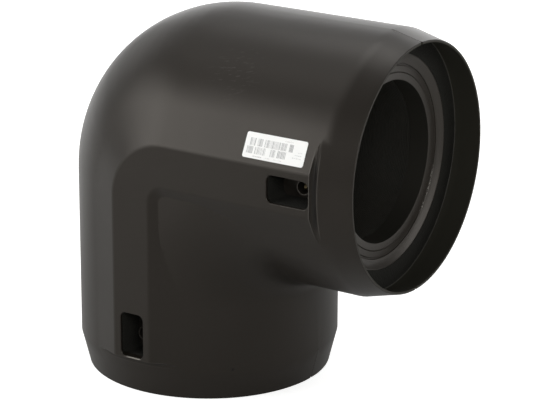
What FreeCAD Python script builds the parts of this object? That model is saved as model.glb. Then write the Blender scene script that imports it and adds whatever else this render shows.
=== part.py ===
"""Insulated ninety-degree pipe elbow.

A plastic socket elbow welds two insulated pipes with heating coils in its bores.
Foam fills the space between it and a thin jacket of two half shells, whose tapered
mouths slide over the jackets of the pipes. A window in each leg of the front shell
reaches the contact pin of that leg's coil.

Frame: the lower leg stands on the origin along +Z, the upper leg points along +X,
and the windows face -Y. The solids are drawn about the point where the two legs'
axes cross, and each placement lifts them by the reach of a leg.
"""
import FreeCAD, Part
import math
import os
import re

import Sketcher

# Driving dimensions in millimetres and degrees.
SIZES = {
    "socket_radius": 68.2,
    "socket_depth": 82.0,
    "stop_height": 6.7,
    "stop_run": 25.8,
    "outer_bend_radius": 32.6,
    "flow_crotch_radius": 8.0,
    "fitting_wall": 22.3,
    "fitting_crotch_radius": 15.0,
    "collar_edge": 1.0,
    "collar_bevel_width": 7.8,
    "collar_bevel_depth": 2.9,
    "collar_groove_width": 1.6,
    "collar_groove_depth": 1.2,
    "lip_width": 6.6,
    "lip_height": 0.6,
    "lip_drop": 0.5,
    "coil_thickness": 1.6,
    "coil_inset": 12.0,
    "coil_overrun": 1.8,
    "link_wire_radius": 0.5,
    "shroud_radius": 6.5,
    "shroud_wall": 1.2,
    "shroud_height": 7.5,
    "shroud_depth": 12.0,
    "pin_radius": 2.0,
    "pin_tip_inset": 3.5,
    "pin_shoulder_radius": 2.6,
    "pin_foot_radius": 3.2,
    "pin_foot_height": 3.0,
    "foam_thickness": 19.0,
    "foam_recess": 27.1,
    "jacket_wall": 3.0,
    "jacket_crotch_radius": 11.0,
    "taper_length": 28.1,
    "taper_drop": 7.0,
    "rim_wall": 2.3,
    "rim_notch_width": 3.0,
    "land_rise": 3.9,
    "land_side_angle": 26.5,
    "land_side_sink": 0.3,
    "land_edge_round": 8.0,
    "land_end_gap": 4.8,
    "land_end_fillet": 3.0,
    "window_length": 38.8,
    "window_width": 22.5,
    "window_corner": 5.0,
    "window_end_gap": 1.4,
    "terminal_offset": 3.9,
    "label_length": 57.0,
    "label_width": 21.0,
    "label_corner": 1.8,
    "label_thickness": 0.25,
    "label_end_gap": 7.7,
    "label_edge_gap": 4.8,
}

# Sizes that follow from the driving ones. Stations are measured along a leg from where
# the two axes cross, and levels and radii from its axis.
DERIVED = {
    "flow_radius": "socket_radius - stop_height",
    "fitting_radius": "socket_radius + fitting_wall",
    "jacket_bore": "fitting_radius + foam_thickness",
    "jacket_radius": "jacket_bore + jacket_wall",
    "rim_radius": "jacket_radius - taper_drop",
    "rim_bore": "rim_radius - rim_wall",
    "flow_inner_bend": "flow_radius + flow_crotch_radius",
    "fitting_inner_bend": "fitting_radius + fitting_crotch_radius",
    "jacket_inner_bend": "jacket_radius + jacket_crotch_radius",
    "socket_stop": "flow_inner_bend + stop_run",
    "socket_mouth": "socket_stop + socket_depth",
    "lip_face": "socket_mouth + lip_height",
    "foam_face": "socket_mouth + collar_bevel_depth",
    "leg_reach": "foam_face + foam_recess",
    "crease": "leg_reach - taper_length",
    "land_end": "crease - land_end_gap",
    "land_level": "jacket_radius + land_rise",
    "land_plane": "jacket_radius - land_side_sink",
    "window_station": "land_end - window_end_gap - window_length / 2",
    "terminal_station": "window_station + terminal_offset",
    "terminal_level": "fitting_radius + shroud_height",
    "shroud_floor": "terminal_level - shroud_depth",
    "coil_start": "socket_stop + coil_inset",
    "coil_end": "terminal_station + coil_overrun",
    "coil_radius": "socket_radius + coil_thickness",
    "link_radius": "socket_radius + coil_thickness / 2",
    "label_station": "land_end - label_end_gap - label_length / 2",
}

# Lengths that only carry a cutting solid past the face that it cuts.
CLEAR = 5.0

# The origin plane that each leg crosses squarely.
LEGS = {"upper": "YZ_Plane", "lower": "XY_Plane"}


def bound(expression):
    """Return an expression of size names as one that reads the sheet."""
    def read(match):
        word = match.group()
        if word in DERIVED:
            return "(" + bound(DERIVED[word]) + ")"
        return "Sizes." + word if word in SIZES else word
    return re.sub(r"[a-z][a-z_]+", read, str(expression))


def make_sheet(doc):
    """Keep the driving dimensions in a spreadsheet."""
    sheet = doc.addObject("Spreadsheet::Sheet", "Sizes")
    for row, (alias, value) in enumerate(SIZES.items(), 1):
        sheet.set(f"A{row}", alias)
        sheet.set(f"B{row}", str(value))
        sheet.setAlias(f"B{row}", alias)
    doc.recompute()
    return sheet


def value_of(doc, expression):
    """Work out an expression of sizes as a plain number."""
    result = doc.Sizes.evalExpression(bound(expression))
    return float(getattr(result, "Value", result))


def set_size(item, path, expression):
    """Bind one property of an object to the sheet."""
    item.setExpression(path, bound(expression))


def new_body(doc, name):
    """Start a body whose own origin lies where the two legs' axes cross."""
    body = doc.addObject("PartDesign::Body", name)
    set_size(body, "Placement.Base.z", "leg_reach")
    return body


def origin_plane(body, role):
    """Find one of the body's own origin planes."""
    return next(p for p in body.Origin.OriginFeatures if p.Role == role)


def add_sketch(body, name, role, offset=("0", "0", "0")):
    """Attach a sketch to an origin plane, moved by the offset in the plane's own axes."""
    sketch = body.newObject("Sketcher::SketchObject", name)
    sketch.AttachmentSupport = [(origin_plane(body, role), "")]
    sketch.MapMode = "FlatFace"
    for axis, expression in zip("xyz", offset):
        if expression != "0":
            set_size(sketch, f".AttachmentOffset.Base.{axis}", expression)
    return sketch


def fix_point(sketch, geometry, end, place):
    """Hold a point of the sketch at a pair of expressions from the sketch's origin."""
    for kind, axis, expression in (("DistanceX", -2, place[0]), ("DistanceY", -1, place[1])):
        if expression == "0":
            sketch.addConstraint(Sketcher.Constraint("PointOnObject", geometry, end, axis))
            continue
        size = value_of(sketch.Document, expression)
        index = sketch.addConstraint(Sketcher.Constraint(kind, -1, 1, geometry, end, size))
        set_size(sketch, f"Constraints[{index}]", expression)


def fix_radius(sketch, geometry, expression):
    """Hold the radius of an arc or circle at an expression."""
    size = value_of(sketch.Document, expression)
    index = sketch.addConstraint(Sketcher.Constraint("Radius", geometry, size))
    set_size(sketch, f"Constraints[{index}]", expression)


def vector_of(doc, place):
    """Turn a pair of expressions into a point of the sketch plane."""
    return FreeCAD.Vector(value_of(doc, place[0]), value_of(doc, place[1]), 0)


def draw_outline(sketch, places):
    """Draw a closed outline of straight lines through the given places."""
    points = [vector_of(sketch.Document, place) for place in places]
    lines = []
    for start, end in zip(points, points[1:] + points[:1]):
        lines.append(sketch.addGeometry(Part.LineSegment(start, end)))
    for line, following, place in zip(lines, lines[1:] + lines[:1], places[1:] + places[:1]):
        sketch.addConstraint(Sketcher.Constraint("Coincident", line, 2, following, 1))
        fix_point(sketch, following, 1, place)


def draw_circle(sketch, radius, centre=("0", "0")):
    """Draw a circle about a centre."""
    size = value_of(sketch.Document, radius)
    middle = vector_of(sketch.Document, centre)
    circle = sketch.addGeometry(Part.Circle(middle, FreeCAD.Vector(0, 0, 1), size))
    fix_point(sketch, circle, 3, centre)
    fix_radius(sketch, circle, radius)


def draw_half_disc(sketch, radius, towards, centre=("0", "0")):
    """Draw the half of a disc that lies towards one side of its centre."""
    turn = {"up": 0, "left": 90, "down": 180}[towards]
    size = value_of(sketch.Document, radius)
    middle = vector_of(sketch.Document, centre)
    round_edge = Part.Circle(middle, FreeCAD.Vector(0, 0, 1), size)
    arc = Part.ArcOfCircle(round_edge, math.radians(turn), math.radians(turn + 180))
    first = sketch.addGeometry(arc)
    second = sketch.addGeometry(Part.LineSegment(arc.EndPoint, arc.StartPoint))
    sketch.addConstraint(Sketcher.Constraint("Coincident", first, 2, second, 1))
    sketch.addConstraint(Sketcher.Constraint("Coincident", second, 2, first, 1))
    sketch.addConstraint(Sketcher.Constraint("PointOnObject", first, 3, second))
    upright = "Horizontal" if towards in ("up", "down") else "Vertical"
    sketch.addConstraint(Sketcher.Constraint(upright, second))
    fix_point(sketch, first, 3, centre)
    fix_radius(sketch, first, radius)


def draw_rounded_rectangle(sketch, length, width, corner):
    """Draw a rectangle with round corners about the sketch's origin."""
    half = (f"({length}) / 2", f"({width}) / 2")
    centres = [(sx, sy) for sx, sy in ((1, 1), (-1, 1), (-1, -1), (1, -1))]
    arcs = []
    for number, (sx, sy) in enumerate(centres):
        place = (f"{sx} * ({half[0]} - {corner})", f"{sy} * ({half[1]} - {corner})")
        size = value_of(sketch.Document, corner)
        edge = Part.Circle(vector_of(sketch.Document, place), FreeCAD.Vector(0, 0, 1), size)
        start = math.radians(90 * number)
        arcs.append(sketch.addGeometry(Part.ArcOfCircle(edge, start, start + math.pi / 2)))
        fix_point(sketch, arcs[-1], 3, place)
    fix_radius(sketch, arcs[0], corner)
    for arc in arcs[1:]:
        sketch.addConstraint(Sketcher.Constraint("Equal", arcs[0], arc))
    for arc, following in zip(arcs, arcs[1:] + arcs[:1]):
        ends = sketch.getPoint(arc, 2), sketch.getPoint(following, 1)
        side = sketch.addGeometry(Part.LineSegment(*ends))
        sketch.addConstraint(Sketcher.Constraint("Tangent", arc, 2, side, 1))
        sketch.addConstraint(Sketcher.Constraint("Tangent", side, 2, following, 1))


def add_pad(body, sketch, length, reverse=False, both_ways=False):
    """Give a sketch a length along its plane's normal."""
    pad = body.newObject("PartDesign::Pad", sketch.Name + "Pad")
    pad.Profile = sketch
    pad.Reversed = reverse
    pad.Midplane = both_ways
    set_size(pad, "Length", length)
    return pad


def add_turn(body, sketch, axis, angle, reverse=False):
    """Turn a sketch about one of its own axes."""
    turn = body.newObject("PartDesign::Revolution", sketch.Name + "Turn")
    turn.Profile = sketch
    turn.ReferenceAxis = (sketch, [axis])
    turn.Reversed = reverse
    turn.Angle = angle
    return turn


def leg_name(base, leg):
    """Name a feature after the leg that it belongs to."""
    return base + leg.capitalize()


def add_leg(body, leg, profile):
    """Turn a leg about its own axis, from a profile of stations and radii."""
    sketch = add_sketch(body, leg_name("Leg", leg), "XZ_Plane")
    first, last = profile[0][0], profile[-1][0]
    places = [(first, "0")] + list(profile) + [(last, "0")]
    if leg == "lower":
        places = [(radius, f"-{station}" if station != "0" else "0") for station, radius in places]
    draw_outline(sketch, places)
    add_turn(body, sketch, "H_Axis" if leg == "upper" else "V_Axis", 360)


def add_bend_side(body, leg, radius, inner_bend):
    """Carry the outer half of a leg from the inner bend's start to the outer bend."""
    upper = leg == "upper"
    start = "outer_bend_radius" if upper else "-outer_bend_radius"
    sketch = add_sketch(body, leg_name("Side", leg), LEGS[leg], ("0", "0", start))
    draw_half_disc(sketch, radius, "up" if upper else "left")
    add_pad(body, sketch, f"{inner_bend} - outer_bend_radius", reverse=not upper)


def add_bend_middle(body, radius, inner_bend):
    """Fill the flat crescent between the centre lines of the outer and inner bends."""
    doc = body.Document
    sketch = add_sketch(body, "BendMiddle", "XZ_Plane")
    arcs = []
    for bend in ("outer_bend_radius", inner_bend):
        size = value_of(doc, bend)
        centre = (bend, f"-{bend}")
        edge = Part.Circle(vector_of(doc, centre), FreeCAD.Vector(0, 0, 1), size)
        arc = sketch.addGeometry(Part.ArcOfCircle(edge, math.pi / 2, math.pi))
        fix_point(sketch, arc, 3, centre)
        fix_radius(sketch, arc, bend)
        arcs.append(arc)
        for end, kind, amount in ((1, "DistanceX", bend), (2, "DistanceY", f"-{bend}")):
            number = value_of(doc, amount)
            index = sketch.addConstraint(Sketcher.Constraint(kind, -1, 1, arc, end, number))
            set_size(sketch, f"Constraints[{index}]", amount)
    for end in (1, 2):
        ends = [sketch.getPoint(arc, end) for arc in arcs]
        side = sketch.addGeometry(Part.LineSegment(*ends))
        sketch.addConstraint(Sketcher.Constraint("Coincident", side, 1, arcs[0], end))
        sketch.addConstraint(Sketcher.Constraint("Coincident", side, 2, arcs[1], end))
    add_pad(body, sketch, f"2 * {radius}", both_ways=True)


def add_bend_half(body, name, radius, bend, towards):
    """Turn half a disc through the quarter circle of a bend."""
    sketch = add_sketch(body, name, "YZ_Plane", ("0", f"-{bend}", bend))
    draw_half_disc(sketch, radius, towards, ("0", bend))
    add_turn(body, sketch, "H_Axis", 90, reverse=True)


def make_elbow(doc, name, radius, inner_bend, profile):
    """Build a solid elbow: two legs, a round outer bend and a tight inner bend."""
    body = new_body(doc, name)
    start = (inner_bend, radius)
    add_leg(body, "upper", [start] + profile)
    add_bend_side(body, "upper", radius, inner_bend)
    add_bend_half(body, "OuterBend", radius, "outer_bend_radius", "up")
    add_bend_side(body, "lower", radius, inner_bend)
    add_bend_middle(body, radius, inner_bend)
    add_bend_half(body, "InnerBend", radius, inner_bend, "down")
    add_leg(body, "lower", [start] + profile)
    return body


def land_edge(level, plane):
    """Give how far from the band's middle its flat face ends and its sloping sides start."""
    angle = "land_side_angle"
    return f"(({plane} - {level} * cos({angle})) / sin({angle}))"


def make_land(doc, name, level, plane, end_station):
    """Build the raised band that runs along both legs and round the bend."""
    body = new_body(doc, name)
    angle = "land_side_angle"
    edge = land_edge(level, plane)
    foot = (f"({plane} * sin({angle}))", f"({plane} * cos({angle}))")
    depth = f"({foot[1]} - 10)"
    bend = "outer_bend_radius"
    clip = f"({bend} - 0.5)"
    clip_level = f"({level} - ({clip} - {edge}) * tan({angle}))"

    upper = add_sketch(body, "BandUpper", "YZ_Plane", ("0", "0", bend))
    draw_outline(upper, [
        (f"-{level}", f"-{edge}"), (f"-{level}", edge), (f"-{foot[1]}", foot[0]),
        (f"-{depth}", foot[0]), (f"-{depth}", f"-{foot[0]}"), (f"-{foot[1]}", f"-{foot[0]}"),
    ])
    add_pad(body, upper, f"{end_station} - {bend}")

    turn = add_sketch(body, "BandBend", "YZ_Plane", ("0", f"-{bend}", bend))
    draw_outline(turn, [
        (f"-{level}", f"{bend} - {edge}"), (f"-{level}", f"{bend} + {edge}"),
        (f"-{foot[1]}", f"{bend} + {foot[0]}"), (f"-{depth}", f"{bend} + {foot[0]}"),
        (f"-{depth}", f"{bend} - {clip}"), (f"-{clip_level}", f"{bend} - {clip}"),
    ])
    add_turn(body, turn, "H_Axis", 90, reverse=True)

    lower = add_sketch(body, "BandLower", "XY_Plane", ("0", "0", f"-{bend}"))
    draw_outline(lower, [
        (f"-{edge}", f"-{level}"), (f"-{foot[0]}", f"-{foot[1]}"), (f"-{foot[0]}", f"-{depth}"),
        (foot[0], f"-{depth}"), (foot[0], f"-{foot[1]}"), (edge, f"-{level}"),
    ])
    add_pad(body, lower, f"{end_station} - {bend}", reverse=True)
    return body


def make_window_plug(doc, leg):
    """Build the plug that cuts a window through the shell and the foam behind it."""
    body = new_body(doc, leg_name("WindowPlug", leg))
    upper = leg == "upper"
    place = ("window_station", "0") if upper else ("0", "-window_station")
    front = f"(land_level + {CLEAR})"
    sketch = add_sketch(body, leg_name("Window", leg), "XZ_Plane", (*place, front))
    sides = ("window_length", "window_width") if upper else ("window_width", "window_length")
    draw_rounded_rectangle(sketch, *sides, "window_corner")
    add_pad(body, sketch, f"{front} - socket_radius", reverse=True)
    return body


def make_rim_cutter(doc, leg):
    """Build the square bar whose edge cuts the notches where the shells meet at a rim."""
    bar = doc.addObject("Part::Box", leg_name("RimNotch", leg))
    half_diagonal = "rim_notch_width / 2"
    for side in ("Length", "Width"):
        set_size(bar, side, "rim_notch_width / sqrt(2)")
    set_size(bar, "Height", f"2 * (rim_radius + {CLEAR})")
    end = f"(rim_radius + {CLEAR})"
    if leg == "upper":
        bar.Placement.Rotation = FreeCAD.Rotation(FreeCAD.Vector(0, 0, 1), 45)
        corner = ("leg_reach", f"-{half_diagonal}", f"leg_reach - {end}")
    else:
        upright = FreeCAD.Rotation(FreeCAD.Vector(0, 1, 0), 90)
        bar.Placement.Rotation = upright.multiply(FreeCAD.Rotation(FreeCAD.Vector(0, 0, 1), 45))
        corner = (f"-{end}", f"-{half_diagonal}", "0")
    for axis, expression in zip("xyz", corner):
        if expression != "0":
            set_size(bar, f"Placement.Base.{axis}", expression)
    return bar


def make_block(doc, name, low, high):
    """Build a block between two corners, given about the crossing of the axes."""
    block = doc.addObject("Part::Box", name)
    for side, start, end in zip(("Length", "Width", "Height"), low, high):
        set_size(block, side, f"{end} - ({start})")
    for axis, start in zip("xyz", low):
        lifted = f"{start} + leg_reach" if axis == "z" else start
        set_size(block, f"Placement.Base.{axis}", lifted)
    return block


def make_shell_block(doc, name, front):
    """Build a block that holds everything on one side of the joint between the shells."""
    near = f"-(jacket_radius + {CLEAR})"
    far = f"(leg_reach + {CLEAR})"
    side = (f"-(land_level + {CLEAR})", "0") if front else ("0", f"jacket_radius + {CLEAR}")
    return make_block(doc, name, (near, side[0], f"-{far}"), (far, side[1], f"jacket_radius + {CLEAR}"))


def make_foam_trim(doc, leg):
    """Build a block that takes away whatever lies past the foam's end face."""
    wide = f"(jacket_radius + {CLEAR})"
    far = f"(leg_reach + 2 * {CLEAR})"
    if leg == "upper":
        corners = ("foam_face", f"-{wide}", f"-{wide}"), (far, wide, wide)
    else:
        corners = (f"-{wide}", f"-{wide}", f"-{far}"), (wide, wide, f"-foam_face")
    return make_block(doc, leg_name("FoamTrim", leg), *corners)


def make_mouth_plug(doc, leg):
    """Build a plug that keeps the foam out of the dished end of a socket."""
    plug = doc.addObject("Part::Cylinder", leg_name("MouthPlug", leg))
    set_size(plug, "Radius", "fitting_radius - collar_edge / 2")
    set_size(plug, "Height", "leg_reach - socket_stop")
    if leg == "upper":
        plug.Placement.Rotation = FreeCAD.Rotation(FreeCAD.Vector(0, 1, 0), 90)
        set_size(plug, "Placement.Base.x", "socket_stop")
        set_size(plug, "Placement.Base.z", "leg_reach")
    return plug


def cut(doc, name, base, tools):
    """Cut several tools out of a base, one after the other."""
    for number, tool in enumerate(tools, 1):
        last = number == len(tools)
        result = doc.addObject("Part::Cut", name if last else f"{name}Cut{number}")
        result.Base = base
        result.Tool = tool
        base = result
    return result


def fuse(doc, name, solids):
    """Fuse several solids and join faces that continue each other."""
    result = doc.addObject("Part::MultiFuse", name)
    result.Shapes = solids
    result.Refine = True
    return result


def keep_common(doc, name, base, block):
    """Keep the part of a solid that lies inside a block."""
    result = doc.addObject("Part::Common", name)
    result.Base = base
    result.Tool = block
    return result


def lies_at(low, high, level):
    """Tell whether an edge that spans from low to high lies at one level."""
    return max(abs(low - level), abs(high - level)) < 0.01


def round_land(doc, outside):
    """Round the raised band: its long edges, and the foot of the step that ends it on each leg."""
    doc.recompute()
    upper_end = value_of(doc, "land_end")
    lower_end = value_of(doc, "leg_reach - land_end")
    face = value_of(doc, "-land_level")
    foot = value_of(doc, "land_end_fillet")
    side = value_of(doc, "land_edge_round")
    chosen = []
    for number, edge in enumerate(outside.Shape.Edges, 1):
        box = edge.BoundBox
        at_end = lies_at(box.XMin, box.XMax, upper_end) or lies_at(box.ZMin, box.ZMax, lower_end)
        if at_end and isinstance(edge.Curve, Part.Circle):
            chosen.append((number, foot, foot))
        elif not at_end and lies_at(box.YMin, box.YMax, face):
            chosen.append((number, side, side))
    rounded = doc.addObject("Part::Fillet", "JacketOutside")
    rounded.Base = outside
    rounded.Edges = chosen
    return rounded


def make_cavity(doc):
    """Build the space inside the jacket, which the foam fills round the fitting."""
    profile = [("crease", "jacket_bore"), ("leg_reach", "rim_bore"), (f"(leg_reach + {CLEAR})", "rim_bore")]
    inside = make_elbow(doc, "JacketInside", "jacket_bore", "jacket_inner_bend", profile)
    level = "(land_level - jacket_wall)"
    plane = "(land_plane - jacket_wall)"
    hollow = make_land(doc, "LandHollow", level, plane, "(land_end - jacket_wall)")
    return fuse(doc, "Cavity", [inside, hollow])


def make_jacket(doc, cavity, plugs):
    """Build the two shells: walls, raised band, windows and rim notches."""
    profile = [("crease", "jacket_radius"), ("leg_reach", "rim_radius")]
    outside = make_elbow(doc, "JacketBlank", "jacket_radius", "jacket_inner_bend", profile)
    band = make_land(doc, "LandOutside", "land_level", "land_plane", "land_end")
    blank = round_land(doc, fuse(doc, "JacketWithLand", [outside, band]))
    notches = [make_rim_cutter(doc, leg) for leg in LEGS]
    shell = cut(doc, "JacketShell", blank, [cavity] + plugs + notches)
    front = keep_common(doc, "FrontShell", shell, make_shell_block(doc, "FrontBlock", True))
    rear = keep_common(doc, "RearShell", shell, make_shell_block(doc, "RearBlock", False))
    return front, rear


def make_fitting_blank(doc):
    """Build the outside of the socket elbow with its stepped collars and shrouds."""
    bevel_foot = "(fitting_radius - collar_edge - collar_bevel_width)"
    bevel_middle = "(fitting_radius - collar_edge - collar_bevel_width / 2)"
    groove_foot = f"({bevel_foot} - collar_groove_width)"
    lip_edge = "(socket_radius + lip_width)"
    groove_floor = "(socket_mouth - collar_groove_depth)"
    profile = [
        ("foam_face", "fitting_radius"),
        ("foam_face", "(fitting_radius - collar_edge)"),
        ("(socket_mouth + collar_bevel_depth / 4)", bevel_middle),
        ("socket_mouth", bevel_foot),
        (groove_floor, bevel_foot),
        (groove_floor, groove_foot),
        ("socket_mouth", groove_foot),
        ("socket_mouth", lip_edge),
        ("lip_face", f"({lip_edge} - lip_height)"),
        ("lip_face", "socket_radius"),
    ]
    outside = make_elbow(doc, "FittingBlank", "fitting_radius", "fitting_inner_bend", profile)
    towers = [make_tower(doc, leg) for leg in LEGS]
    return fuse(doc, "FittingOutside", [outside] + towers)


def terminal_place(leg):
    """Give the offset of a terminal from the crossing of the axes."""
    return ("terminal_station", "0", "0") if leg == "upper" else ("0", "0", "-terminal_station")


def make_turned(doc, name, leg, outline):
    """Turn an outline of radii and levels about the axis of a leg's terminal."""
    body = new_body(doc, name)
    place = terminal_place(leg)
    sketch = add_sketch(body, name + "Outline", "XY_Plane", place)
    draw_outline(sketch, [(radius, f"-{level}") for radius, level in outline])
    add_turn(body, sketch, "V_Axis", 360)
    return body


def make_tower(doc, leg):
    """Build the shroud that stands on the fitting round a contact pin."""
    root = "(socket_radius + coil_thickness + pin_foot_height)"
    outline = [
        ("0", root), ("shroud_radius", root), ("shroud_radius", "terminal_level"),
        ("0", "terminal_level"),
    ]
    return make_turned(doc, leg_name("Tower", leg), leg, outline)


def make_shroud_bore(doc, leg):
    """Build the round space between a contact pin and its shroud."""
    radius = "(shroud_radius - shroud_wall)"
    mouth = f"(terminal_level + {CLEAR})"
    outline = [("0", "shroud_floor"), (radius, "shroud_floor"), (radius, mouth), ("0", mouth)]
    return make_turned(doc, leg_name("ShroudBore", leg), leg, outline)


def make_contact_pin(doc, name, leg, root):
    """Build a contact pin from its root on the coil: a foot, a shoulder and a bevelled shaft."""
    tip = "(terminal_level - pin_tip_inset)"
    step = "(coil_radius + pin_foot_height)"
    outline = [
        ("0", root), ("pin_foot_radius", root), ("pin_foot_radius", step),
        ("pin_shoulder_radius", step), ("pin_shoulder_radius", "shroud_floor"),
        ("pin_radius", "shroud_floor"), ("pin_radius", f"({tip} - pin_radius / 3)"),
        ("(pin_radius * 2 / 3)", tip), ("0", tip),
    ]
    return make_turned(doc, leg_name(name, leg), leg, outline)


def make_coil(doc, leg):
    """Build a heating coil as the thin sleeve that its turns fill in the bore."""
    body = new_body(doc, leg_name("HeatingCoil", leg))
    sketch = add_sketch(body, leg_name("CoilSection", leg), "XZ_Plane")
    places = [
        ("coil_start", "socket_radius"), ("coil_start", "coil_radius"),
        ("coil_end", "coil_radius"), ("coil_end", "socket_radius"),
    ]
    if leg == "lower":
        places = [(radius, f"-{station}") for station, radius in places]
    draw_outline(sketch, places)
    add_turn(body, sketch, "H_Axis" if leg == "upper" else "V_Axis", 360)
    return body


def make_link_wire(doc):
    """Build the wire that joins the two coils through the wall of the outer bend."""
    body = new_body(doc, "LinkWire")
    bend = "outer_bend_radius"
    run = f"coil_start - {bend}"
    upper = add_sketch(body, "WireUpper", "YZ_Plane", ("0", "0", bend))
    draw_circle(upper, "link_wire_radius", ("0", "link_radius"))
    add_pad(body, upper, run)
    turn = add_sketch(body, "WireBend", "YZ_Plane", ("0", f"-{bend}", bend))
    draw_circle(turn, "link_wire_radius", ("0", f"({bend} + link_radius)"))
    add_turn(body, turn, "H_Axis", 90, reverse=True)
    lower = add_sketch(body, "WireLower", "XY_Plane", ("0", "0", f"-{bend}"))
    draw_circle(lower, "link_wire_radius", ("-link_radius", "0"))
    add_pad(body, lower, run, reverse=True)
    return body


def make_passage(doc):
    """Build the space that the pipes and the water fill inside the fitting."""
    flare = "(socket_radius + lip_width - 2 * lip_height)"
    profile = [
        ("socket_stop", "flow_radius"), ("socket_stop", "socket_radius"),
        ("(lip_face - lip_drop)", "socket_radius"), ("lip_face", flare),
        (f"(foam_face + {CLEAR})", flare),
    ]
    return make_elbow(doc, "Passage", "flow_radius", "flow_inner_bend", profile)


def make_label(doc):
    """Build the label that is stuck on the sloping side of the upper leg's band."""
    body = doc.addObject("PartDesign::Body", "Label")
    sketch = add_sketch(body, "LabelOutline", "XY_Plane")
    draw_rounded_rectangle(sketch, "label_length", "label_width", "label_corner")
    add_pad(body, sketch, "label_thickness")
    angle = "land_side_angle"
    edge = land_edge("land_level", "land_plane")
    height = f"({edge} + (label_edge_gap + label_width / 2) * cos({angle}))"
    depth = f"(land_plane - {height} * sin({angle})) / cos({angle})"
    body.Placement.Rotation = FreeCAD.Rotation(FreeCAD.Vector(1, 0, 0), 45)
    set_size(body, "Placement.Rotation.Angle", f"90 - {angle}")
    for axis, expression in zip("xyz", ("label_station", f"-{depth}", f"leg_reach + {height}")):
        set_size(body, f"Placement.Base.{axis}", expression)
    return body


def check(doc, nodes):
    """Stop if any object failed or any sub-part isn't one valid solid."""
    doc.recompute()
    failed = [item.Name for item in doc.Objects if {"Invalid", "Error"} & set(item.State)]
    if failed:
        raise RuntimeError("failed objects: " + ", ".join(failed))
    for label, item in nodes.items():
        shape = item.Shape
        if shape.isNull() or not shape.isValid() or len(shape.Solids) != 1:
            raise RuntimeError(f"{label} is not one valid solid")


def main():
    doc = FreeCAD.newDocument("InsulatedElbow")
    make_sheet(doc)
    plugs = [make_window_plug(doc, leg) for leg in LEGS]
    cavity = make_cavity(doc)
    front, rear = make_jacket(doc, cavity, plugs)
    blank = make_fitting_blank(doc)
    coils = [make_coil(doc, leg) for leg in LEGS]
    pins = [make_contact_pin(doc, "ContactPin", leg, "coil_radius") for leg in LEGS]
    seats = [make_contact_pin(doc, "PinSeat", leg, "link_radius") for leg in LEGS]
    wire = make_link_wire(doc)
    bores = [make_shroud_bore(doc, leg) for leg in LEGS]
    trims = [make_foam_trim(doc, leg) for leg in LEGS]
    trims += [make_mouth_plug(doc, leg) for leg in LEGS]
    nodes = {
        "jacket_front_half": front,
        "jacket_rear_half": rear,
        "insulation_foam": cut(doc, "Foam", cavity, [blank] + plugs + trims),
        "socket_elbow": cut(doc, "Fitting", blank, [make_passage(doc), wire] + coils + seats + bores),
        "coil_link_wire": wire,
        "product_label": make_label(doc),
    }
    for leg, coil, pin in zip(LEGS, coils, pins):
        nodes[f"{leg}_heating_coil"] = coil
        nodes[f"{leg}_contact_pin"] = pin
    for label, item in nodes.items():
        item.Label = label
    check(doc, nodes)
    os.makedirs("parts", exist_ok=True)
    for label, item in nodes.items():
        item.Shape.exportStep(f"parts/{label}.step")
        print(label, round(item.Shape.Volume), "mm3")


main()
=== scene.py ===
import math

import bmesh
import bpy
from bpy.props import FloatProperty, FloatVectorProperty, IntProperty, PointerProperty
from mathutils import Matrix, Vector


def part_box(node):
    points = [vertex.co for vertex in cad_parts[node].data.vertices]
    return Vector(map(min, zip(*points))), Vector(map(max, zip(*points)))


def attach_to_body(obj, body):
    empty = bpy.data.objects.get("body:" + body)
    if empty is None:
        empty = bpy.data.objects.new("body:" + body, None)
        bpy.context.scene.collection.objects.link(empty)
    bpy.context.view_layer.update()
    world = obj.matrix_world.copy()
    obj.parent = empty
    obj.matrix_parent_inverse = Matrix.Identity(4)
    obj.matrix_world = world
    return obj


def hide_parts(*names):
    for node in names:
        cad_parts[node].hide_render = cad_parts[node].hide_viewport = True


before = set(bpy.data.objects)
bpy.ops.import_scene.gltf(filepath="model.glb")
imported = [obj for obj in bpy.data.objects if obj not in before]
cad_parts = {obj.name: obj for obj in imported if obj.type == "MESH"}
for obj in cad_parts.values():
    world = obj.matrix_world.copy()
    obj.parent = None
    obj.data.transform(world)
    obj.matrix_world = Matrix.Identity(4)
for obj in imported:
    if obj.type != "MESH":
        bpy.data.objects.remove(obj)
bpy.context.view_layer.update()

bl_info = {
    "name": "Insulated pipe elbow",
    "version": (1, 0, 0),
    "blender": (4, 5, 0),
    "location": "View3D > Sidebar > Elbow",
    "description": "Dresses the packed pipe elbow with rounded shells, windings and a label",
    "category": "Object",
}

MM = 0.001
WHITE = (1.0, 1.0, 1.0, 1.0)
# The near black of painted shade.
PAINTED_SHADE_COLOUR = (0.001, 0.001, 0.001)

# The jacket: how far each mouth is from the other leg's axis, and where the axes cross.
JACKET_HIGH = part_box("jacket_front_half")[1]
REACH = JACKET_HIGH.x
JACKET_RADIUS = JACKET_HIGH.z - REACH
CROSSING = Vector((0.0, 0.0, REACH))

# How deep the taper and the band's end lie from a leg's mouth. The lower mouth is at level 0,
# so the lower window's sill has a level of the same kind.
TAPER_LENGTH = 28.1 * MM
BAND_END_DEPTH = TAPER_LENGTH + 4.8 * MM
SILL_LEVEL = BAND_END_DEPTH + 1.4 * MM

# The middle of the jacket's wall at a rim, and how its radius grows with the depth.
RIM_WALL_RADIUS = JACKET_RADIUS - 8.2 * MM
TAPER_SLOPE = 0.237

# The foam's radius at its face, the sleeve of a heating coil and the bore inside it.
FOAM_RIM_RADIUS = 108.9 * MM
COIL_THICKNESS = 1.6 * MM
SOCKET_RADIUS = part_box("upper_heating_coil")[1].y - COIL_THICKNESS

# How the copies of the solids are made ready for rounding: points nearer than the first are
# merged, faces flatter than the second are joined, and edges past the third are sharp.
MERGE_DISTANCE = 0.002 * MM
FLAT_ANGLE = math.radians(0.2)
SHARP_ANGLE = math.radians(20)

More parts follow.
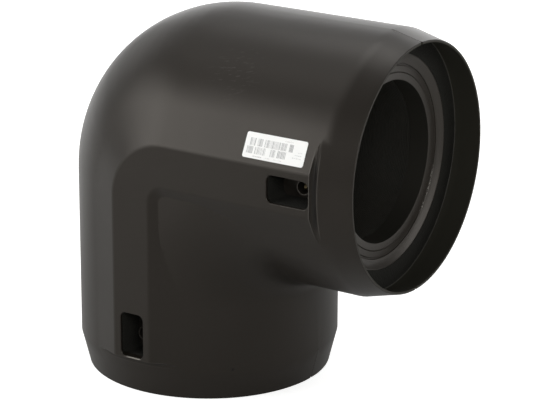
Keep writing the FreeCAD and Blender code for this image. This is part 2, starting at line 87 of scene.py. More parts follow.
# How the jacket's edges are told apart: the slack on a place along a leg, how near the joint of
# the shells a point lies in it, and the share of the jacket's radius that is its outer skin,
# the narrower rims included.
LIMIT_SLACK = 0.1 * MM
JOINT_SLACK = 0.01 * MM
SKIN_SHARE = 0.92

# Small round marks that the mould left on the lower taper, pressed in and darkened with painted
# shade: middle, radius and soft edge.
MOULD_MARKS = (
    ((78.3 * MM, -80.8 * MM, 28.5 * MM), 1.3 * MM, 0.5 * MM),
    ((-98.0 * MM, -49.0 * MM, 26.0 * MM), 1.1 * MM, 0.5 * MM),
)

# The patch of scratches on the upper leg: middle, radius and soft edge.
SCRATCHED_PATCH = ((80.0 * MM, -78.0 * MM, 288.0 * MM), 17.0 * MM, 24.0 * MM)

# The patch on the upper collar with painted glints, specks of painted highlight: middle, radius
# and soft edge, and the two radii of the ring that the glints lie on.
PAINTED_GLINT_PATCH = ((177.5 * MM, 69.0 * MM, 165.0 * MM), 18.0 * MM, 12.0 * MM)
PAINTED_GLINT_RING = (80.4 * MM, 82.4 * MM)

# The level under which the painted shade and highlights at the band's end are faint, and how
# much they lose there.
FAINT_LEVEL = 100.0 * MM
FAINT_LOSS = 0.75

# The stretch of the lower window's sill that carries a painted highlight: its middle, half its
# length, and the plane that only its outer edge stands in front of.
SILL_MIDDLE = 1.5 * MM
SILL_HALF_LENGTH = 6.5 * MM
SILL_FRONT = -JACKET_RADIUS - 3.1 * MM

# The label's film, the slope of its edge, how far the ink stands on it, and the steps round
# each of its corners.
FILM_THICKNESS = 0.25 * MM
FILM_EDGE = 0.06 * MM
INK_LIFT = 0.02 * MM
CORNER_STEPS = 8

# The label's rows of bars: name, number of bars, start from the left, drop from the top,
# length and height in millimetres, and how much of the row is inked.
BAR_ROWS = (
    ("upper_1", 5, 5.0, 4.4, 5.2, 6.2, 0.66),
    ("upper_2", 5, 11.9, 4.4, 5.0, 6.2, 0.70),
    ("upper_3", 20, 18.6, 4.4, 20.8, 6.2, 0.62),
    ("upper_4", 4, 41.6, 4.4, 3.8, 6.2, 0.85),
    ("lower_1", 6, 3.2, 11.4, 6.0, 5.8, 0.60),
    ("lower_2", 9, 10.8, 11.4, 10.4, 5.8, 0.52),
    ("lower_3", 5, 25.4, 11.4, 4.8, 5.8, 0.62),
    ("lower_4", 7, 32.0, 11.4, 8.2, 5.8, 0.60),
    ("foot_1", 12, 9.7, 18.7, 8.6, 0.9, 0.62),
    ("foot_2", 6, 21.5, 18.7, 4.5, 0.7, 0.40),
    ("foot_3", 9, 29.5, 18.7, 7.5, 0.7, 0.40),
    ("head", 9, 36.5, 2.4, 8.0, 0.7, 0.45),
    ("note_1", 6, 50.5, 9.6, 3.8, 0.7, 0.50),
    ("note_2", 9, 48.0, 12.0, 6.2, 0.7, 0.50),
    ("note_3", 12, 46.0, 14.4, 8.0, 0.7, 0.50),
)

# The camera as the photograph shows it: its place in jacket radii from where the legs' axes
# cross, its turn from the front towards +X, its rise and its roll in degrees, and its lens and
# sensor in millimetres.
CAMERA_PLACE = CROSSING + Vector((10.184, -14.851, 5.287)) * JACKET_RADIUS
CAMERA_TURN = 32.71
CAMERA_RISE = 18.04
CAMERA_ROLL = 0.31
CAMERA_LENS = 157.9
CAMERA_SENSOR = 36.0

# Soft square lamps all round the elbow, all at one distance from one centre: name, turn from
# the front towards +X and rise in degrees, side in metres and power in watts.
LAMP_CENTRE = Vector((0.05, 0.0, 0.18))
LAMP_DISTANCE = 2.2
LAMPS = (
    ("front_left_lamp", -40, 10, 1.5, 14.8),
    ("raised_front_left_lamp", -35, 25, 0.9, 12.1),
    ("raised_left_lamp", -60, 25, 0.9, 8.1),
    ("high_left_lamp", -60, 65, 0.9, 4.9),
    ("side_left_lamp", -110, 10, 1.5, 6.0),
    ("raised_side_left_lamp", -110, 40, 1.5, 4.2),
    ("rear_left_lamp", -150, 10, 1.5, 14.5),
    ("high_rear_left_lamp", -150, 65, 0.9, 12.5),
    ("rear_lamp", 180, 28, 0.9, 11.0),
    ("right_lamp", 112, 10, 1.5, 14.0),
    ("front_right_lamp", 40, 25, 0.9, 20.3),
)

# The faint warm tint of the light that the black plastic gives back.
SHEEN_TINT = (1.0, 0.93, 0.85, 1.0)

# The floor lies just under the rim. Where the camera sees it, it glows, and more outside the
# near circle, which has a middle, a radius and a soft edge.
FLOOR_LEVEL = -0.1 * MM
SEEN_GLOW = 0.75
SEEN_GLOW_AWAY = 0.25
FLOOR_NEAR = ((0.0, 0.0, 0.0), 1.5, 1.8)

# Where the plastic mirrors the floor, it glows a little, and fully behind the elbow: the way
# that the camera looks over the floor, and the middle and width of the step along it.
MIRRORED_GLOW = 0.11
AHEAD_X, AHEAD_Y = -0.54, 0.84
BEHIND = (0.6, 0.8)

# How bright the plastic mirrors the space all round, which the camera sees at 1.
MIRRORED_WORLD = 0.10


# What a user may change
class ElbowJacketSettings(bpy.types.PropertyGroup):
    """The black outer shells."""

    colour: FloatVectorProperty(
        name="Plastic", description="Colour of the jacket's polyethylene",
        subtype="COLOR", size=3, min=0, max=1, default=(0.0096, 0.0078, 0.0060))
    # The inside colour is paler than the skin: painted light on the shaded inside of the mouths.
    inside_painted_light_colour: FloatVectorProperty(
        name="Inside", description="Colour of the dull plastic inside the mouths",
        subtype="COLOR", size=3, min=0, max=1, default=(0.0215, 0.0208, 0.0155))
    # The scuffs' colour also paints the highlights on the edges at the band's end.
    scuff_and_edge_highlight_colour: FloatVectorProperty(
        name="Scuffs", description="Colour that rubbing gives the plastic",
        subtype="COLOR", size=3, min=0, max=1, default=(0.050, 0.046, 0.041))
    # The sill's colour is a painted highlight on the lower window's sill.
    sill_highlight_colour: FloatVectorProperty(
        name="Rubbed sill", description="Colour of the lower window's rubbed sill",
        subtype="COLOR", size=3, min=0, max=1, default=(0.20, 0.19, 0.17))
    roughness: FloatProperty(
        name="Roughness", description="How dull the moulded skin is",
        subtype="FACTOR", min=0, max=1, default=0.42)
    edge_round: FloatProperty(
        name="Rim edge radius", description="Radius of the rounded edges of the rims",
        subtype="DISTANCE", unit="LENGTH", min=0.00001, default=0.5 * MM)
    window_round: FloatProperty(
        name="Window edge radius", description="Radius of the rounded edges of the windows",
        subtype="DISTANCE", unit="LENGTH", min=0, default=0.9 * MM)
    seam_round: FloatProperty(
        name="Seam groove", description="Depth of the groove between the shells on the tapers",
        subtype="DISTANCE", unit="LENGTH", min=0, default=0.3 * MM)


class ElbowFillingSettings(bpy.types.PropertyGroup):
    """The foam between the jacket and the fitting."""

    colour: FloatVectorProperty(
        name="Foam", description="Colour of the foam's cast face",
        subtype="COLOR", size=3, min=0, max=1, default=(0.0120, 0.0116, 0.0088))
    cell: FloatProperty(
        name="Cell size", description="Size of the foam's cells",
        subtype="DISTANCE", unit="LENGTH", min=0.0001, default=1.4 * MM)
    bead: FloatProperty(
        name="Bead", description="Radius of the bead where the foam meets the jacket",
        subtype="DISTANCE", unit="LENGTH", min=0.0001, default=0.45 * MM)
    # The bead is a real raised ring; its pale colour is a painted highlight.
    bead_skin_and_highlight_colour: FloatVectorProperty(
        name="Bead colour", description="Colour of the bead's smooth skin",
        subtype="COLOR", size=3, min=0, max=1, default=(0.060, 0.057, 0.048))


class ElbowFittingSettings(bpy.types.PropertyGroup):
    """The socket elbow inside."""

    colour: FloatVectorProperty(
        name="Plastic", description="Colour of the fitting's polyethylene",
        subtype="COLOR", size=3, min=0, max=1, default=(0.0185, 0.0160, 0.0133))
    bore_colour: FloatVectorProperty(
        name="Bore", description="Colour of the scraped plastic in the bores",
        subtype="COLOR", size=3, min=0, max=1, default=(0.0112, 0.0108, 0.0085))
    # The specks' colour is that of painted glints on the upper collar.
    painted_glint_colour: FloatVectorProperty(
        name="Specks", description="Colour of the specks on the upper collar",
        subtype="COLOR", size=3, min=0, max=1, default=(0.22, 0.21, 0.19))
    roughness: FloatProperty(
        name="Roughness", description="How dull the machined plastic is",
        subtype="FACTOR", min=0, max=1, default=0.31)
    edge_round: FloatProperty(
        name="Edge radius", description="Radius of the rounded edges of the collars",
        subtype="DISTANCE", unit="LENGTH", min=0, default=0.35 * MM)


class ElbowWindingSettings(bpy.types.PropertyGroup):
    """The heating wires in the sockets and their contact pins."""

    pitch: FloatProperty(
        name="Pitch", description="Distance from one turn to the next",
        subtype="DISTANCE", unit="LENGTH", min=0.0002, default=COIL_THICKNESS)
    gap: FloatProperty(
        name="Gap", description="Gap between one turn and the next",
        subtype="DISTANCE", unit="LENGTH", min=0, default=0.1 * MM)
    sheath_colour: FloatVectorProperty(
        name="Sheath", description="Colour of the wire's plastic sheath",
        subtype="COLOR", size=3, min=0, max=1, default=(0.0120, 0.0114, 0.0092))
    pin_colour: FloatVectorProperty(
        name="Pin", description="Colour of the contact pins' metal",
        subtype="COLOR", size=3, min=0, max=1, default=(0.20, 0.16, 0.09))


class ElbowLabelSettings(bpy.types.PropertyGroup):
    """The label on the upper leg."""

    length: FloatProperty(
        name="Length", description="Length of the label along the leg",
        subtype="DISTANCE", unit="LENGTH", min=0.001, default=57 * MM)
    width: FloatProperty(
        name="Width", description="Width of the label up the slope",
        subtype="DISTANCE", unit="LENGTH", min=0.001, default=21 * MM)
    corner: FloatProperty(
        name="Corner", description="Radius of the label's corners",
        subtype="DISTANCE", unit="LENGTH", min=0.0001, default=1.8 * MM)
    slope: FloatProperty(
        name="Slope", description="Angle between the band's sloping side and its face",
        subtype="ANGLE", unit="ROTATION", default=math.radians(26.5))
    film_colour: FloatVectorProperty(
        name="Film", description="Colour of the label's film",
        subtype="COLOR", size=3, min=0, max=1, default=(0.86, 0.86, 0.84))
    ink_colour: FloatVectorProperty(
        name="Ink", description="Colour of the printed bars",
        subtype="COLOR", size=3, min=0, max=1, default=(0.24, 0.24, 0.24))
    seed: IntProperty(name="Seed", description="Seed of the bars' widths", default=7)


class ElbowStageSettings(bpy.types.PropertyGroup):
    """The floor, the lamps and the camera."""

    floor_colour: FloatVectorProperty(
        name="Floor", description="Colour of the floor under the elbow",
        subtype="COLOR", size=3, min=0, max=1, default=(0.62, 0.62, 0.61))
    floor_size: FloatProperty(
        name="Floor size", description="Side of the floor",
        subtype="DISTANCE", unit="LENGTH", min=1, default=14.0)
    lamp_level: FloatProperty(
        name="Lamp level", description="Factor on the power of every lamp",
        min=0, default=1.0)
    ambient: FloatProperty(
        name="Ambient", description="Strength of the even light from all round",
        min=0, default=0.02)


# Nodes
class Socket:
    """A number of a node tree that takes part in arithmetic."""

    def __init__(self, nodes, output):
        self.nodes = nodes
        self.output = output

    def combine(self, operation, first, second=0.0, clamp=False):
        """Add a Math node, which may hold its result between 0 and 1."""
        node = self.nodes.node(
            "ShaderNodeMath", {"operation": operation, "use_clamp": clamp},
            {0: first, 1: second})
        return Socket(self.nodes, node.outputs[0])

    def __add__(self, other):
        return self.combine("ADD", self, other)

    def __radd__(self, other):
        return self.combine("ADD", other, self)

    def __sub__(self, other):
        return self.combine("SUBTRACT", self, other)

    def __rsub__(self, other):
        return self.combine("SUBTRACT", other, self)

    def __mul__(self, other):
        return self.combine("MULTIPLY", self, other)

    def __rmul__(self, other):
        return self.combine("MULTIPLY", other, self)

    def __truediv__(self, other):
        return self.combine("DIVIDE", self, other)

    def __rtruediv__(self, other):
        return self.combine("DIVIDE", other, self)

    def __pow__(self, other):
        return self.combine("POWER", self, other)

    def __rpow__(self, other):
        return self.combine("POWER", other, self)

    def __abs__(self):
        return self.combine("ABSOLUTE", self)

    def larger(self, other):
        return self.combine("MAXIMUM", self, other)

    def smaller(self, other):
        return self.combine("MINIMUM", self, other)

    def below(self, limit, blur):
        """1 where the number is under the limit, 0 over it, with a soft step as wide as blur."""
        return self.combine("ADD", (limit - self) / blur, 0.5, clamp=True)

    def between(self, low, high, blur):
        """1 where the number is between two limits, 0 elsewhere, with soft steps."""
        return self.below(high, blur) - self.below(low, blur)


class Nodes:
    """A node tree, and the one call that adds its nodes."""

    def __init__(self, tree):
        self.tree = tree

    def node(self, kind, settings=None, inputs=None):
        """Add a node: its settings first, then the values or links of its sockets."""
        node = self.tree.nodes.new(kind)
        for setting, value in (settings or {}).items():
            if setting == "stops":
                for stop, place in zip(node.color_ramp.elements, value):
                    stop.position = place
            else:
                setattr(node, setting, value)
        for socket, value in (inputs or {}).items():
            self.feed(node.inputs[socket], value)
        return node

    def feed(self, socket, value):
        """Link a socket to what gives its value, or set the value itself."""
        if isinstance(value, Socket):
            value = value.output
        if isinstance(value, bpy.types.NodeSocket):
            self.tree.links.new(value, socket)
        elif socket.type == "RGBA" and len(value) == 3:
            socket.default_value = (*value, 1.0)
        else:
            socket.default_value = value

    def rays(self):
        """Two numbers: 1 where the camera sees the place, and 1 where plastic mirrors it."""
        path = self.node("ShaderNodeLightPath")
        return [Socket(self, path.outputs[name]) for name in ("Is Camera Ray", "Is Glossy Ray")]


class Shader(Nodes):
    """A new material with one principled surface, and short calls for its nodes."""

    def __init__(self, name, **surface):
        self.material = bpy.data.materials.new(name)
        self.material.use_nodes = True
        super().__init__(self.material.node_tree)
        self.surface = self.tree.nodes["Principled BSDF"]
        self.paint(**surface)

    def paint(self, **sockets):
        """Feed sockets of the surface, which are named in small letters."""
        for title, value in sockets.items():
            wanted = title.replace("_", " ")
            self.feed(next(s for s in self.surface.inputs if s.name.lower() == wanted), value)

    def bump(self, height, distance):
        """Let a height that goes from 0 to 1 stand out by a distance."""
        node = self.node("ShaderNodeBump", None, {"Distance": distance, "Height": height})
        self.paint(normal=node.outputs[0])

    def place(self):
        """The point of the surface in the object's own coordinates."""
        return self.node("ShaderNodeTexCoord").outputs["Object"]

    def stretched(self, scale, rotation=(0.0, 0.0, 0.0)):
        """Coordinates in which a pattern is drawn out along turned axes."""
        mapping = self.node("ShaderNodeMapping", {"vector_type": "TEXTURE"}, {
            "Vector": self.place(), "Rotation": rotation, "Scale": scale})
        return mapping.outputs[0]

    def coordinates(self):
        """The three coordinates of the surface's point, one by one."""
        split = self.node("ShaderNodeSeparateXYZ", None, {0: self.place()})
        return [Socket(self, output) for output in split.outputs]

    def near(self, spot, radius, blur):
        """1 within a radius of a spot, 0 outside it, with a soft step between."""
        node = self.node("ShaderNodeVectorMath", {"operation": "DISTANCE"}, {
            0: self.place(), 1: spot})
        return Socket(self, node.outputs["Value"]).below(radius, blur)

    def noise(self, scale, detail, roughness, vector=None):
        """A cloudy pattern with about as many clouds to the metre as its scale."""
        node = self.node("ShaderNodeTexNoise", None, {
            "Vector": vector or self.place(), "Scale": scale, "Detail": detail,
            "Roughness": roughness})
        return Socket(self, node.outputs[0])

    def ramp(self, value, low, high):
        """Stretch the part of a number from low to high out to 0 to 1."""
        node = self.node("ShaderNodeValToRGB", {"stops": (low, high)}, {0: value})
        return Socket(self, node.outputs[0])

    def mix(self, factor, first, second):
        """Go from one colour to another."""
        node = self.node("ShaderNodeMix", {"data_type": "RGBA"}, {
            0: factor, 6: first, 7: second})
        return node.outputs[2]


# Finishes
def toned(colour, factor):
    """Make a colour darker or paler by a factor."""
    return tuple(min(1.0, factor * value) for value in colour)


def leg_measures(shader):
    """Give the radius from the nearer leg's axis and the distance from that leg's mouth."""
    x, y, z = shader.coordinates()
    upper_radius = (y ** 2.0 + (z - REACH) ** 2.0) ** 0.5
    lower_radius = (y ** 2.0 + x ** 2.0) ** 0.5
    upper_depth = REACH - x
    on_upper = upper_depth.below(z, 0.1 * MM)
    radius = on_upper * upper_radius + (1.0 - on_upper) * lower_radius
    return radius, upper_depth.smaller(z)


def band_end_shade_and_highlights(shader, radius, depth):
    """Mask the painted shadow in the corner between the band's end and the taper, and the
    painted highlights on the edges there.
    """
    _, y, z = shader.coordinates()
    aside = y / radius + 1.0
    strength = 1.0 - z.below(FAINT_LEVEL, 10.0 * MM) * FAINT_LOSS
    corner = depth.between(TAPER_LENGTH + 0.9 * MM, BAND_END_DEPTH - 0.6 * MM, 0.8 * MM)
    taper_edge, band_edge = (
        depth.between(edge - 0.3 * MM, edge + 0.5 * MM, 0.4 * MM)
        for edge in (TAPER_LENGTH, BAND_END_DEPTH + 0.3 * MM))
    # Painted shadow in the corner between the taper and the band's end.
    dark = corner * aside.below(0.030, 0.014)
    # Painted highlights along the edges of the taper and the band's end.
    rubbed = (taper_edge + band_edge) * aside.below(0.045, 0.03)
    return dark * strength, rubbed * strength


def painted_sill_highlight(shader):
    """Mask the outer edge of the lower window's sill, where a highlight is painted."""
    x, y, z = shader.coordinates()
    line = z.below(SILL_LEVEL + 0.2 * MM, 0.2 * MM) - z.below(SILL_LEVEL - 0.8 * MM, 0.3 * MM)
    stretch = abs(x - SILL_MIDDLE).below(SILL_HALF_LENGTH, 3.0 * MM)
    return line * stretch * y.below(SILL_FRONT, 0.5 * MM)


def jacket_material(settings):
    """Moulded black polyethylene: cloudy gloss, orange peel, marks of use, painted shade and
    painted highlights, and a dull inside paled with painted light.
    """
    shader = Shader("jacket_plastic", specular_ior_level=0.32, specular_tint=SHEEN_TINT)
    radius, depth = leg_measures(shader)
    wall_middle = RIM_WALL_RADIUS + depth * TAPER_SLOPE
    inside = radius.below(wall_middle, 0.4 * MM) * depth.below(TAPER_LENGTH, 0.4 * MM)
    clouds = shader.noise(9.0, 4.0, 0.55)
    peel = shader.noise(700.0, 2.0, 0.5)
    swell = shader.noise(22.0, 2.0, 0.4)
    streaks = shader.noise(
        520.0, 3.0, 0.55, shader.stretched((30.0, 1.0, 1.0), (0.0, -0.33, 0.0)))
    scratches = shader.ramp(streaks, 0.58, 0.68) * (shader.near(*SCRATCHED_PATCH) + 0.05)
    fibres = shader.noise(
        60.0, 2.0, 0.5, shader.stretched((1.0, 1.0, 0.025), (0.5, 0.9, 0.0)))
    hairlines = shader.ramp(fibres, 0.70, 0.74) * shader.ramp(clouds, 0.5, 0.6)
    worn = scratches * 0.6 + hairlines * 0.1
    painted_corner_shade, painted_edge_highlights = band_end_shade_and_highlights(shader, radius, depth)
    mould_marks = sum(shader.near(*mark) for mark in MOULD_MARKS)
    skin = shader.mix(worn, settings.colour, settings.scuff_and_edge_highlight_colour)
    # Painted highlights on the edges at the band's end, in the scuffs' colour.
    skin = shader.mix(painted_edge_highlights * 0.8, skin, settings.scuff_and_edge_highlight_colour)
    # A painted highlight on the lower window's sill.
    skin = shader.mix(painted_sill_highlight(shader), skin, settings.sill_highlight_colour)
    # Painted shade, near black, in the mould marks' dimples and in the corner at the band's end.
    skin = shader.mix((mould_marks * 0.8).larger(painted_corner_shade), skin, PAINTED_SHADE_COLOUR)
    # The inside of the mouths is paled with painted light, and made duller.
    shader.paint(
        base_color=shader.mix(inside, skin, settings.inside_painted_light_colour),
        roughness=settings.roughness - 0.05 + clouds * 0.10 + worn * 0.2 + inside * 0.25)
    relief = peel * 0.4 + swell * 6.0 - scratches * 0.8 - hairlines * 0.4 - mould_marks * 8.0
    shader.bump(relief, 0.06 * MM)
    return shader.material


def foam_material(settings):
    """Matt foam with fine cells under a cast skin."""
    shader = Shader("matt_foam", specular_ior_level=0.25)
    cells = shader.node("ShaderNodeTexVoronoi", None, {
        "Vector": shader.place(), "Scale": 1.0 / settings.cell})
    pores = Socket(shader, cells.outputs["Distance"])
    patches = shader.noise(40.0, 4.0, 0.6)
    shader.paint(
        base_color=shader.mix(patches, toned(settings.colour, 0.6), settings.colour),
        roughness=0.82 + patches * 0.12)
    shader.bump(pores + patches * 2.0, 0.35 * MM)
    return shader.material


def bead_material(settings):
    """The smooth skin that the foam forms along the jacket, paled with a painted highlight."""
    shader = Shader("foam_skin", specular_ior_level=0.30)
    patches = shader.noise(60.0, 3.0, 0.6)
    colour = settings.bead_skin_and_highlight_colour
    # The bead's paler colour is a painted highlight along the jacket.
    shader.paint(
        base_color=shader.mix(patches, toned(colour, 0.5), colour),
        roughness=0.5 + patches * 0.2)
    shader.bump(patches, 0.1 * MM)
    return shader.material


def fitting_material(settings):
    """Satin black polyethylene, darker and duller in the bores, with painted glints on one
    collar.
    """
    shader = Shader("fitting_plastic", specular_ior_level=0.40, specular_tint=SHEEN_TINT)
    radius, _ = leg_measures(shader)
    bore = radius.below(SOCKET_RADIUS + 0.25 * MM, 0.2 * MM)
    clouds = shader.noise(14.0, 3.0, 0.5)
    grain = shader.noise(420.0, 3.0, 0.6)
    # Painted glints: pale specks on a ring of the upper collar.
    specks = shader.ramp(shader.noise(800.0, 3.0, 0.6), 0.50, 0.60) \
        * radius.between(*PAINTED_GLINT_RING, 0.6 * MM) * shader.near(*PAINTED_GLINT_PATCH)
    skin = shader.mix(clouds, settings.colour, toned(settings.colour, 1.5))
    skin = shader.mix(specks, skin, settings.painted_glint_colour)
    shader.paint(
        base_color=shader.mix(bore, skin, settings.bore_colour),
        roughness=settings.roughness - 0.04 + clouds * 0.12 + bore * 0.25)
    shader.bump(grain, 0.05 * MM)
    return shader.material


def sheath_material(settings):
    """The thin black sheath of the heating wire."""
    shader = Shader("wire_sheath", specular_ior_level=0.15)
    clouds = shader.noise(160.0, 2.0, 0.5)
    colour = settings.sheath_colour
    shader.paint(
        base_color=shader.mix(clouds, colour, toned(colour, 1.8)),
        roughness=0.60 + clouds * 0.15)
    shader.bump(clouds, 0.04 * MM)
    return shader.material


def pin_material(settings):
    """Dull brass with fine turning marks and a little tarnish."""
    shader = Shader("contact_brass", metallic=1.0)
    marks = shader.noise(900.0, 2.0, 0.5, shader.stretched((7.0, 0.25, 7.0)))
    tarnish = shader.ramp(shader.noise(300.0, 4.0, 0.6), 0.35, 0.60)
    colour = settings.pin_colour
    shader.paint(
        base_color=shader.mix(tarnish, colour, toned(colour, 0.35)),
        roughness=0.48 + marks * 0.12 + tarnish * 0.2)
    shader.bump(marks, 0.02 * MM)
    return shader.material


def film_material(settings):
    """White film with a slightly uneven ground and a little dirt."""
    shader = Shader("label_film")
    fibre = shader.noise(260.0, 3.0, 0.6)
    dirt = shader.ramp(shader.noise(90.0, 5.0, 0.7), 0.60, 0.85)
    colour = settings.film_colour
    shader.paint(
        base_color=shader.mix(dirt * 0.5, colour, toned(colour, 0.82)),
        roughness=0.50 + fibre * 0.10)
    shader.bump(fibre, 0.03 * MM)
    return shader.material


def ink_material(settings):
    """Printed grey ink with fine pale speckles."""
    shader = Shader("label_ink")
    speckle = shader.ramp(shader.noise(1500.0, 2.0, 0.6), 0.40, 0.70)
    colour = settings.ink_colour
    shader.paint(
        base_color=shader.mix(speckle * 0.5, colour, toned(colour, 2.0)),
        roughness=0.45 + speckle * 0.15)
    shader.bump(speckle, 0.01 * MM)
    return shader.material


# Meshes
def add_object(name, mesh):
    """Put a mesh into the scene as an object at the origin."""
    piece = bpy.data.objects.new(name, mesh)
    bpy.context.scene.collection.objects.link(piece)
    return piece


def attach(piece, material, slot_name, *nodes):
    """Give a piece its material and body, and let it stand for CAD nodes; the slot name is not
    used.
    """
    piece.data.materials.clear()
    piece.data.materials.append(material)
    if nodes:
        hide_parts(*nodes)
    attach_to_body(piece, "root")


def dress_node(name, material):
    """Give a CAD node that stays as it is a better material."""
    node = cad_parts[name]
    if not node.data.materials:
        node.data.materials.append(material)
    for slot in node.material_slots:
        slot.material = material


def on_leg(leg, station):
    """Give the move that lays what is made round the Z axis on a leg's axis, at a station."""
    if leg == "upper":
        turn = Matrix.Rotation(math.radians(90), 4, "Y")
        return Matrix.Translation((station, 0.0, REACH)) @ turn
    return Matrix.Translation((0.0, 0.0, station))


def direction(turn, rise):
    """Give the way out from the elbow: a turn from the front towards +X, and a rise."""
    turn, rise = math.radians(turn), math.radians(rise)
    return Vector((
        math.sin(turn) * math.cos(rise), -math.cos(turn) * math.cos(rise), math.sin(rise)))


def merged_copy(name, weigh):
    """Copy a CAD node's mesh with its points merged and give its sharp edges bevel weights."""
    shape = bmesh.new()
    shape.from_mesh(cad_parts[name].data)
    bmesh.ops.remove_doubles(shape, verts=shape.verts, dist=MERGE_DISTANCE)
    for face in shape.faces:
        face.smooth = True
    bmesh.ops.dissolve_limit(
        shape, angle_limit=FLAT_ANGLE, use_dissolve_boundaries=False,
        verts=shape.verts, edges=shape.edges, delimit=set())
    layer = shape.edges.layers.float.new("bevel_weight_edge")
    for edge in shape.edges:
        if edge.calc_face_angle(0.0) > SHARP_ANGLE:
            edge[layer] = weigh(edge)
            edge.smooth = edge[layer] > 0.0
    mesh = bpy.data.meshes.new(name + "_copy")
    shape.to_mesh(mesh)
    shape.free()
    return mesh


def rounded(piece, width):
    """Round the weighted edges of a piece and let its broad faces lead the shading."""
    bevel = piece.modifiers.new("Rounded edges", "BEVEL")
    bevel.limit_method = "WEIGHT"
    bevel.width = width
    bevel.segments = 2
    bevel.use_clamp_overlap = False
    bevel.harden_normals = False
    shading = piece.modifiers.new("Weighted normals", "WEIGHTED_NORMAL")
    shading.mode = "FACE_AREA"
    shading.weight = 100
    shading.keep_sharp = True
    settle(piece)


def hide_joint(piece):
    """Shade the skin along the joint of the shells as if it ran on across the joint."""
    mesh = piece.data
    normals = [corner.vector.copy() for corner in mesh.corner_normals]
    for face in mesh.polygons:
        in_joint = abs(face.normal.y) > 0.7
        if in_joint:
            continue
        for corner in face.loop_indices:
            spot = mesh.vertices[mesh.loops[corner].vertex_index].co
            if abs(spot.y) < JOINT_SLACK:
                normals[corner].y = 0.0
                normals[corner].normalize()
    mesh.normals_split_custom_set(normals)


def settle(piece):
    """Turn what a piece's modifiers make into its plain mesh."""
    graph = bpy.context.evaluated_depsgraph_get()
    mesh = bpy.data.meshes.new_from_object(piece.evaluated_get(graph))
    piece.modifiers.clear()
    piece.data = mesh
    return piece


# Geometry Nodes
class Tree(Nodes):
    """A Geometry Nodes tree with named inputs."""

    def __init__(self, name, **inputs):
        super().__init__(bpy.data.node_groups.new(name, "GeometryNodeTree"))
        self.add_socket("Geometry", "NodeSocketGeometry", "OUTPUT")
        for title, value in inputs.items():
            kind = "NodeSocketInt" if isinstance(value, int) else "NodeSocketFloat"
            self.add_socket(self.spoken(title), kind).default_value = value
        self.add_socket("Material", "NodeSocketMaterial")
        self.source = self.node("NodeGroupInput")

    @staticmethod
    def spoken(title):
        """The name that an input has in the tree."""
        return title.replace("_", " ").capitalize()

    def add_socket(self, title, kind, in_out="INPUT"):
        return self.tree.interface.new_socket(title, in_out=in_out, socket_type=kind)

    def input(self, title):
        return Socket(self, self.source.outputs[title])

    def end(self, geometry):
        """Realize the instances, set the material and give the result out."""
        real = self.node("GeometryNodeRealizeInstances", None, {0: geometry})
        painted = self.node("GeometryNodeSetMaterial", None, {
            "Geometry": real.outputs[0], "Material": self.input("Material")})
        self.node("NodeGroupOutput", None, {0: painted.outputs[0]})

    def make(self, name, material, **inputs):
        """Run the tree on an empty mesh and return the piece that it makes."""
        piece = add_object(name, bpy.data.meshes.new(name))
        modifier = piece.modifiers.new("Nodes", "NODES")
        modifier.node_group = self.tree
        identifiers = {item.name: item.identifier for item in self.tree.interface.items_tree
                       if item.in_out == "INPUT"}
        for title, value in inputs.items():
            modifier[identifiers[self.spoken(title)]] = value
        modifier[identifiers["Material"]] = material
        return settle(piece)


def winding_tree():
    """A wire wound in close turns up the Z axis."""
    made = Tree("Winding", turns=32.0, length=0.05, radius=0.07, wire_radius=0.0007)
    spiral = made.node("GeometryNodeCurveSpiral", None, {
        "Resolution": 96, "Rotations": made.input("Turns"), "Height": made.input("Length"),
        "Start Radius": made.input("Radius"), "End Radius": made.input("Radius")})
    section = made.node("GeometryNodeCurvePrimitiveCircle", {"mode": "RADIUS"}, {
        "Resolution": 8, "Radius": made.input("Wire radius")})
    wire = made.node("GeometryNodeCurveToMesh", None, {
        "Curve": spiral.outputs[0], "Profile Curve": section.outputs[0], "Fill Caps": True})
    smooth = made.node("GeometryNodeSetShadeSmooth", None, {"Geometry": wire.outputs[0]})
    made.end(smooth.outputs[0])
    return made


def bead_tree():
    """A thin ring about the Z axis."""
    made = Tree("Bead", radius=0.1, bead_radius=0.0005)
    ring = made.node("GeometryNodeCurvePrimitiveCircle", {"mode": "RADIUS"}, {
        "Resolution": 192, "Radius": made.input("Radius")})
    section = made.node("GeometryNodeCurvePrimitiveCircle", {"mode": "RADIUS"}, {
        "Resolution": 10, "Radius": made.input("Bead radius")})
    bead = made.node("GeometryNodeCurveToMesh", None, {
        "Curve": ring.outputs[0], "Profile Curve": section.outputs[0]})
    smooth = made.node("GeometryNodeSetShadeSmooth", None, {"Geometry": bead.outputs[0]})
    made.end(smooth.outputs[0])
    return made


def bar_tree():
    """A row of upright printed bars of uneven widths."""
    made = Tree("Bar row", bars=40, length=0.04, height=0.006, fill=0.5, seed=1)
    step = made.input("Length") / made.input("Bars")
    offset = made.node("ShaderNodeCombineXYZ", None, {"X": step})
    line = made.node("GeometryNodeMeshLine", {"mode": "OFFSET"}, {
        "Count": made.input("Bars"), "Offset": offset.outputs[0]})
    bar = made.node("GeometryNodeMeshGrid", None, {
        "Size X": 1.0, "Size Y": 1.0, "Vertices X": 2, "Vertices Y": 2})
    share = made.node("FunctionNodeRandomValue", {"data_type": "FLOAT"}, {
        2: 0.25, 3: 1.0, "Seed": made.input("Seed")})
    width = Socket(made, share.outputs[1]) * made.input("Fill") * step
    scale = made.node("ShaderNodeCombineXYZ", None, {
        "X": width, "Y": made.input("Height"), "Z": 1.0})
    placed = made.node("GeometryNodeInstanceOnPoints", None, {
        "Points": line.outputs[0], "Instance": bar.outputs[0], "Scale": scale.outputs[0]})
    made.end(placed.outputs[0])
    return made


